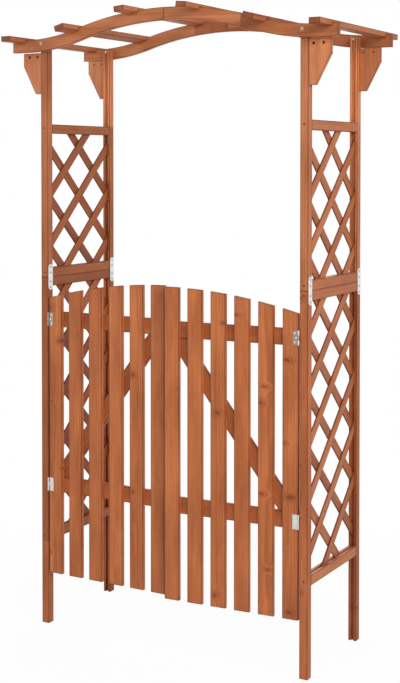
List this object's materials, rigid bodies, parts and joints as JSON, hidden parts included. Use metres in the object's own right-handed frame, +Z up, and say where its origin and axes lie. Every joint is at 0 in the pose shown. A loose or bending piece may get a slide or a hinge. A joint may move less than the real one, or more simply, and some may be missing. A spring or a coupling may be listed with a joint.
{
  "type": "garden arch",
  "caption": "Wooden garden arch with lattice side panels, wavy top beams with cross slats, and a low double picket gate that opens outwards.",
  "frame": {"origin": "on the ground in the middle of the arch", "axes": "+X across the passage to the right seen from the front, +Y from the front to the rear, +Z up"},
  "size_m": [1.2, 0.61, 2.0614],
  "materials": {
    "stained_wood": "orange-brown stain, matt",
    "lattice_wood": "orange-brown stain, matt",
    "zinc_steel": "zinc plated"
  },
  "bodies": {
    "arch": {"front_left_lower_post": "stained_wood", "front_right_lower_post": "stained_wood", "rear_left_lower_post": "stained_wood", "rear_right_lower_post": "stained_wood", "front_left_upper_post": "stained_wood", "front_right_upper_post": "stained_wood", "rear_left_upper_post": "stained_wood", "rear_right_upper_post": "stained_wood", "left_lower_rails": "stained_wood", "left_upper_rails": "stained_wood", "right_lower_rails": "stained_wood", "right_upper_rails": "stained_wood", "left_lower_lattice": "lattice_wood", "left_upper_lattice": "lattice_wood", "right_lower_lattice": "lattice_wood", "right_upper_lattice": "lattice_wood", "left_joiner_plates": "zinc_steel", "right_joiner_plates": "zinc_steel", "front_left_bracket": "stained_wood", "front_right_bracket": "stained_wood", "rear_left_bracket": "stained_wood", "rear_right_bracket": "stained_wood", "front_beam_left_half": "stained_wood", "front_beam_right_half": "stained_wood", "rear_beam_left_half": "stained_wood", "rear_beam_right_half": "stained_wood", "slat_1": "stained_wood", "slat_2": "stained_wood", "slat_3": "stained_wood", "slat_4": "stained_wood", "slat_5": "stained_wood", "slat_6": "stained_wood", "left_post_hinges": "zinc_steel", "right_post_hinges": "zinc_steel"},
    "left_leaf": {"left_pickets": "stained_wood", "left_gate_upper_rail": "stained_wood", "left_gate_lower_rail": "stained_wood", "left_gate_brace": "stained_wood", "left_gate_hinges": "zinc_steel"},
    "right_leaf": {"right_pickets": "stained_wood", "right_gate_upper_rail": "stained_wood", "right_gate_lower_rail": "stained_wood", "right_gate_brace": "stained_wood", "right_gate_hinges": "zinc_steel"}
  },
  "joints": [
    {"name": "left_gate_hinge", "type": "hinge", "parent": "arch", "child": "left_leaf", "pos_m": [-0.467, -0.2025, 0.7565], "axis": [0, 0, -1], "range_deg": [0, 170]},
    {"name": "right_gate_hinge", "type": "hinge", "parent": "arch", "child": "right_leaf", "pos_m": [0.467, -0.2025, 0.7565], "axis": [0, 0, 1], "range_deg": [-4, 166]}
  ]
}
